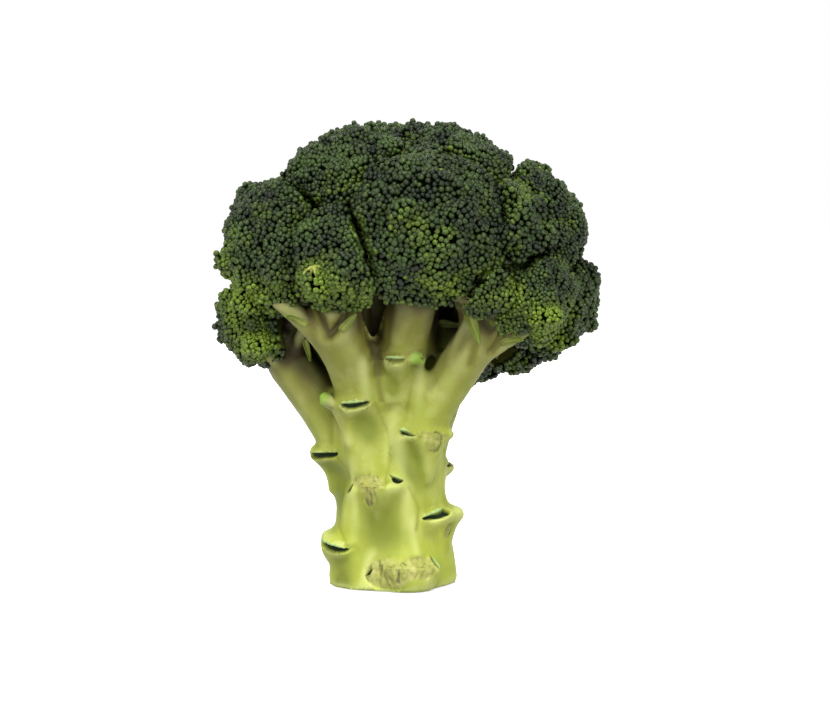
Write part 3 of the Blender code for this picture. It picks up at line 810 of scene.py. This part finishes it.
BUD_SPACING = {  # in mm, from the middle of one bud to the next
    "front_centre": 1.68, "front_left": 1.56, "front_low": 1.35, "left": 1.5, "left_low": 1.4, "right": 1.26,
    "right_back": 1.5, "right_low": 1.4, "right_upper": 1.33, "top_left": 1.5, "top_right": 1.5,
}
USUAL_SPACING = 1.67
CANDIDATES = 7  # for each bud that finds room
CREVICE = 0.5 * MM  # no buds grow where less room than this is left
CLOSEST = 0.86  # buds first stand this share of the spacing apart, or more
PUSHED_APART = (8, 1.03, 0.35)  # rounds, the share of the spacing that they are pushed to and how hard
BUD_RADII = (0.55 * MM, 1.3 * MM)
BUD_SIZE = 0.65  # a bud's radius, as a share of its distance from its neighbours
SEED = 11
PEDICEL_TILT = 0.2  # the buds' own stalks lean a little
SEPAL_FOLD = 0.06  # four sepals make a bud a little square
SEPAL_TIP = 0.88  # and its tip a little flat
# painted shade: buds this near to another floret are painted darker, with less wax and yellow
SHADED = 7 * MM  # buds this near to another floret grow in its shade, darker
UNDER_RIM = 4 * MM  # up to here over its flat underside a dome has no buds where it faces down
BARE = 0.1  # between two flower stalks, below this height of the cells, few buds are left
STRAYS = 0.12  # the share of them that is left
TURNED_EARLY = 0.004  # share of the buds that turn yellow before their neighbours
PATCH_SIZE = 9 * MM  # patches of yellower buds
MOOD_SIZE = 11 * MM  # patches of lighter buds
MOOD_START = Vector((7, 0, 0))  # so that the two don't fall together
YELLOWING = (  # where the buds on the front begin to turn: place (x, z), size in mm and strength
    (-54, 108, 11, 1.4), (-51, 90, 7, 1.3), (57, 101, 9, 1.1), (71, 95, 7, 0.6), (-25, 114, 10, 1.0),
    (35, 120, 6, 0.6), (21, 114, 6, 0.8), (12, 135, 9, 0.5), (60, 90, 8, 0.9), (-62, 120, 8, 0.7),
    (45, 108, 8, 0.8), (36, 108, 9, 0.5), (-12, 108, 7, 0.7), (46, 147, 5, 0.6),
)

rng = np.random.default_rng(SEED)
trees = {name: tree_of(mesh) for name, mesh in beds.items()}


def face_table(mesh):
    """Corner places and smooth normals of the mesh's triangles."""
    mesh.calc_loop_triangles()
    corners = np.empty(3 * len(mesh.loop_triangles), np.int32)
    mesh.loop_triangles.foreach_get("vertices", corners)
    corners = corners.reshape(-1, 3)
    return places(mesh)[corners], vertex_normals(mesh)[corners]


def scattered(mesh, spacing):
    """Random points on a mesh with their normals, CANDIDATES for each bud of that spacing."""
    spots, normals = face_table(mesh)
    areas = np.linalg.norm(np.cross(spots[:, 1] - spots[:, 0], spots[:, 2] - spots[:, 0]), axis=1) / 2
    count = int(CANDIDATES * areas.sum() / (0.866 * spacing**2))  # packed like a honeycomb
    chosen = rng.choice(len(areas), count, p=areas / areas.sum())
    a, b = rng.random((2, count))
    over = a + b > 1
    a[over], b[over] = 1 - a[over], 1 - b[over]
    shares = np.stack((1 - a - b, a, b), axis=1)[:, :, None]
    return (spots[chosen] * shares).sum(axis=1), unit((normals[chosen] * shares).sum(axis=1))


def has_room(name, point, normal):
    """Whether a bud at this point stands in the open, not against another floret or a branch."""
    start, way = Vector(point) + Vector(normal) * 0.3 * MM, Vector(normal)
    for other, tree in trees.items():
        if other != name and tree.ray_cast(start, way, CREVICE)[0] is not None:
            return False
        if other != name and tree.find_nearest(start, 0.1 * MM)[0] is not None:
            return False
    return stalk_tree.ray_cast(start, way, CREVICE)[0] is None


def thinned(points, spacing):
    """Indices of points that keep the spacing from each other."""
    finder = finder_of(points)
    taken = np.zeros(len(points), bool)
    kept = []
    for index, point in enumerate(points):
        if taken[index]:
            continue
        kept.append(index)
        for _, other, _ in finder.find_range(point, spacing):
            taken[other] = True
    return kept


owners, spots, gaps = [], [], []
for number, name in enumerate(FLORETS):
    spacing = BUD_SPACING.get(name[7:], USUAL_SPACING) * MM
    middle, axis, reach = undersides[name]
    points, normals = scattered(beds[name], spacing)
    cells = cell_heights(points, TUFT_SIZE)
    exposed = (normals @ axis > -0.4) | ((points - middle) @ axis > UNDER_RIM)
    outside = exposed & ((cells > BARE) | (rng.random(len(points)) < STRAYS))
    points, normals = points[outside], normals[outside]
    kept = [i for i in thinned(points, CLOSEST * spacing) if has_room(name, points[i], normals[i])]
    owners += [number] * len(kept)
    spots += list(points[kept])
    gaps += [spacing] * len(kept)
owners, spots, gaps = np.array(owners), np.array(spots), np.array(gaps)


def neighbours(points, count):
    """Index and distance of each point's nearest neighbours, itself left out."""
    finder = finder_of(points)
    rows = [finder.find_n(point, count + 1)[1:] for point in points]
    return (np.array([[found[1] for found in row] for row in rows]),
            np.array([[found[2] for found in row] for row in rows]))


def on_beds(points):
    """Each point brought back to its own bed, and the number of the face that it lies on there."""
    landed, faces = [], []
    for point, owner in zip(points, owners):
        where, _, face, _ = trees[FLORETS[owner]].find_nearest(point)
        landed.append(where)
        faces.append(face)
    return np.array(landed), np.array(faces)


rounds, apart, hard = PUSHED_APART
for _ in range(rounds):
    near, far = neighbours(spots, 6)
    away = unit(spots[:, None, :] - spots[near])
    press = np.maximum(0, apart * gaps[:, None] - far)[:, :, None]
    spots, on_faces = on_beds(spots + hard * (away * press).sum(axis=1))

bud_normals = np.empty_like(spots)
shaded = meeting(spots, owners, SHADED)
for number, name in enumerate(FLORETS):
    own = owners == number
    normals = vertex_normals(beds[name])
    corners = np.array([beds[name].polygons[int(face)].vertices[:] for face in on_faces[own]])
    bud_normals[own] = unit(normals[corners].mean(axis=1))

_, far = neighbours(spots, 5)
room = far.mean(axis=1)
bud_cells = cell_heights(spots, TUFT_SIZE)
radii = np.clip(BUD_SIZE * room, *BUD_RADII) * (0.9 + 0.12 * bud_cells)


def bud_template():
    """An egg of radius 1 with its tip up, closed underneath by a low cone. It has few faces,
    because it is repeated thousands of times."""
    bm = bmesh.new()
    bmesh.ops.create_uvsphere(bm, u_segments=7, v_segments=4, radius=1)
    low = [v for v in bm.verts if v.co.z < -0.5]
    bmesh.ops.pointmerge(bm, verts=low, merge_co=(0, 0, -0.9))
    for vert in bm.verts:
        fold = 1 + SEPAL_FOLD * math.cos(4 * math.atan2(vert.co.y, vert.co.x))
        vert.co.x, vert.co.y = fold * vert.co.x, fold * vert.co.y
        vert.co.z = min(vert.co.z, SEPAL_TIP)
    bmesh.ops.triangulate(bm, faces=bm.faces)
    return new_mesh("bud", bm)


def repeated(mesh, count):
    """The mesh that many times over, in one mesh and in order."""
    holder = new_object("repeated", mesh)
    array = holder.modifiers.new("array", "ARRAY")
    array.count = count
    array.use_relative_offset = False
    return evaluated(holder)


def frames_on(normals, turns):
    """A turned right-handed frame for each normal: rows of (side, other side, normal)."""
    helper = np.where(np.abs(normals[:, 2:]) < 0.9, np.array((0, 0, 1.0)), np.array((1.0, 0, 0)))
    side = unit(np.cross(helper, normals))
    other = np.cross(normals, side)
    cos, sin = np.cos(turns)[:, None], np.sin(turns)[:, None]
    return np.stack((side * cos + other * sin, other * cos - side * sin, normals), axis=1)


bud = bud_template()
bud_points = places(bud)
# near black at a bud's foot as painted shade between crowded buds, lightest on its shoulders as a painted
# highlight, and darker again at the tip where the sepals meet
bud_shading = np.interp(bud_points[:, 2], (-0.9, 0, 0.7, SEPAL_TIP), (0, 0.3, 1, 0.25))  # dark where sepals meet

# Closed sepals: deep green, under a dull grey-green wax, and yellow where they begin to turn.
# Each bud is painted near black towards its foot as painted shade and paler on its shoulders as a
# painted highlight, and buds facing up get more of it. The wax gives them a weak, broad shine.
buds_skin, tree, shader = new_material("waxy_bud_sepals")
colour = linear("0f1a0a")
for name, text in (("tone", "3c541b"), ("yellow", "76902b"), ("bloom", "4c5a3b")):
    share = add_node(tree, "ShaderNodeAttribute", attribute_name=name).outputs["Fac"]
    colour = add_node(tree, "ShaderNodeMix", {0: share, 6: colour, 7: linear(text)},
                      data_type="RGBA").outputs[2]
share = add_node(tree, "ShaderNodeAttribute", attribute_name="tip").outputs["Fac"]
colour = add_node(tree, "ShaderNodeMix", {0: share, 6: linear("050803"), 7: colour},
                  data_type="RGBA").outputs[2]
tree.links.new(colour, shader.inputs["Base Color"])
shader.inputs["Roughness"].default_value = 0.45
shader.inputs["Specular IOR Level"].default_value = 0.24

# The stalks between the buds: matt, painted almost black as the shade between the buds, and pale olive under
# the dome.
bed_skin, tree, shader = new_material("bud_stalks_in_painted_shade")
share = add_node(tree, "ShaderNodeAttribute", attribute_name="under").outputs["Fac"]
colour = add_node(tree, "ShaderNodeMix", {0: share, 6: linear("030502"), 7: linear("5f6330")},
                  data_type="RGBA").outputs[2]
tree.links.new(colour, shader.inputs["Base Color"])
shader.inputs["Roughness"].default_value = 0.9
shader.inputs["Specular IOR Level"].default_value = 0.0

for number, name in enumerate(FLORETS):
    own = owners == number
    count = int(own.sum())
    middle, axis, reach = undersides[name]
    lean = unit(bud_normals[own] + PEDICEL_TILT * rng.normal(size=(count, 3)))
    turns = rng.random(count) * math.tau
    wide = radii[own] * rng.uniform(0.88, 1.1, count)
    tall = wide * rng.uniform(1.1, 1.4, count)
    lift = rng.uniform(0, 0.35, count) * wide
    crowd = repeated(bud, count)
    scale = np.stack((wide, wide, tall), axis=1)[:, None, :] * bud_points[None]
    placed = np.einsum("bvk,bkj->bvj", scale, frames_on(lean, turns))
    placed += (spots[own] + lean * lift[:, None])[:, None, :]
    move_to(crowd, placed.reshape(-1, 3))
    facing = bud_normals[own] @ axis
    patch = np.array([noise.noise(Vector(p) / PATCH_SIZE) for p in spots[own]])
    rim = smoothstep(0.4, -0.3, facing)
    fading = np.zeros(count)
    for x, z, wide_patch, strong in YELLOWING:
        off = (spots[own][:, (0, 2)] / MM - (x, z)) / wide_patch
        fading = np.maximum(fading, strong * np.exp(-(off**2).sum(axis=1)) * (spots[own][:, 1] < 0))
    # buds in that painted shade are also less yellow
    rim *= 1 - shaded[own]
    turned = 0.5 * patch * (1 - shaded[own]) + 0.5 * rim + fading
    yellow = smoothstep(0.0, 1.3, turned + 0.1 * rng.normal(size=count))
    yellow = np.where(rng.random(count) < TURNED_EARLY, np.maximum(yellow, 0.6), yellow)
    mood = np.array([noise.fractal(Vector(p) / MOOD_SIZE + MOOD_START, 0.8, 2.0, 3) for p in spots[own]])
    lumps = cell_heights(spots[own], LUMP_SIZE)
    # grown is each bud's tuft height: with the lump heights it makes buds on tops lighter and those in the
    # valleys darker, as painted shade. mood and the random draw are the buds' own differences.
    grown = 0.15 + 0.3 * bud_cells[own]
    tone = np.clip(grown + 0.2 * lumps + 0.6 * mood + 0.2 * rng.normal(size=count), 0, 1)
    # painted shade: buds near another floret are painted darker
    tone *= 1 - 0.7 * shaded[own]
    # the wax is painted lighter on buds that face up, as painted top light, and darker on those in painted
    # shade near another floret
    up = smoothstep(-0.2, 0.95, bud_normals[own][:, 2])
    wax_and_top_light = np.clip(grown + 0.3 * lumps + 0.5 * mood + 0.25 * rng.normal(size=count), 0, 1)
    wax_and_top_light *= (0.38 + 0.25 * up) * (1 - yellow) * (1 - 0.8 * shaded[own])
    set_attribute(crowd, "tone", np.repeat(tone, len(bud_points)))
    set_attribute(crowd, "yellow", np.repeat(yellow, len(bud_points)))
    set_attribute(crowd, "tip", np.tile(bud_shading, count))
    set_attribute(crowd, "bloom", np.outer(wax_and_top_light, bud_shading**2).ravel())
    bed = beds[name]
    under = smoothstep(-0.45, -0.7, vertex_normals(bed) @ axis) * (1 - crowded[name])
    set_attribute(bed, "under", under * smoothstep(1.5 * UNDER_RIM, UNDER_RIM, (places(bed) - middle) @ axis))
    both = bmesh.new()
    both.from_mesh(crowd)
    first = len(both.faces)
    both.from_mesh(bed)
    both.faces.ensure_lookup_table()
    for face in both.faces[first:]:
        face.material_index = 1
    whole = new_mesh(name, both)
    whole.materials.append(buds_skin)
    whole.materials.append(bed_skin)
    whole.shade_smooth()
    piece = new_object(name.replace("floret", "buds"), whole)
    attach(piece, "root")
    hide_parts(name)


# ---- Floor, light and camera ----
# A sheet of white paper lies under the head, half a millimetre lower than the cut end. A soft key
# light from above, weaker ones at both sides and behind, and a pale sky light the head.

FLOOR_DROP = 0.5 * MM
CAMERA_AIM = Vector((0.009, 0, 0.087))
CAMERA_AWAY = 1.0  # metres from there
CAMERA_ELEVATION = math.radians(5)
CAMERA_LENS = 115.66

bm = bmesh.new()
bmesh.ops.create_grid(bm, x_segments=1, y_segments=1, size=3)
bmesh.ops.translate(bm, vec=(0, 0, -FLOOR_DROP), verts=bm.verts)
floor_mesh = new_mesh("floor", bm)

# White paper, which glows a little so that it stays an even white.
paper, tree, shader = new_material("white_paper")
shader.inputs["Base Color"].default_value = (0.9, 0.9, 0.9, 1)
shader.inputs["Emission Color"].default_value = (1, 1, 1, 1)
shader.inputs["Emission Strength"].default_value = 0.62
shader.inputs["Roughness"].default_value = 0.9
floor_mesh.materials.append(paper)
floor = new_object("floor", floor_mesh)
floor.visible_diffuse = False

world = bpy.data.worlds.new("studio")
bpy.context.scene.world = world
world.use_nodes = True
tree = world.node_tree
direction = add_node(tree, "ShaderNodeTexCoord").outputs["Generated"]
up = add_node(tree, "ShaderNodeSeparateXYZ", {0: direction}).outputs["Z"]
strength = add_node(tree, "ShaderNodeMapRange", {
    0: up, "From Min": -0.15, "From Max": 0.9, "To Min": 0.15, "To Max": 0.55})
sky = add_node(tree, "ShaderNodeBackground", {"Color": (1, 1, 1, 1), "Strength": strength.outputs[0]})
wall = add_node(tree, "ShaderNodeBackground", {"Color": (1, 1, 1, 1), "Strength": 1.0})
seen = add_node(tree, "ShaderNodeLightPath").outputs["Is Camera Ray"]
both = add_node(tree, "ShaderNodeMixShader", {0: seen, 1: sky.outputs[0], 2: wall.outputs[0]})
tree.links.new(both.outputs[0], tree.nodes["World Output"].inputs["Surface"])


def softbox(name, place, aim, size, power):
    lamp = bpy.data.lights.new(name, "AREA")
    lamp.shape = "SQUARE"
    lamp.size = size
    lamp.energy = power
    obj = new_object(name, lamp)
    obj.location = place
    obj.rotation_euler = (Vector(aim) - Vector(place)).to_track_quat("-Z", "Y").to_euler()


softbox("key", (-0.12, -0.5, 0.85), (0, 0, 0.1), 0.6, 10)
softbox("right fill", (0.75, -0.8, 0.25), (0, 0, 0.06), 0.6, 8.5)
softbox("left fill", (-0.75, -0.8, 0.25), (0, 0, 0.06), 0.6, 6.5)
softbox("back fill", (0.1, 1.0, 0.3), (0, 0, 0.08), 0.9, 6)

camera_data = bpy.data.cameras.new("camera")
camera_data.sensor_width = 36
camera_data.lens = CAMERA_LENS
camera_data.clip_end = 20
camera = new_object("camera", camera_data)
back = Vector((0, -math.cos(CAMERA_ELEVATION), math.sin(CAMERA_ELEVATION)))
camera.location = CAMERA_AIM + CAMERA_AWAY * back
camera.rotation_euler = (-back).to_track_quat("-Z", "Y").to_euler()
bpy.context.scene.camera = camera
bpy.context.scene.view_settings.view_transform = "Standard"
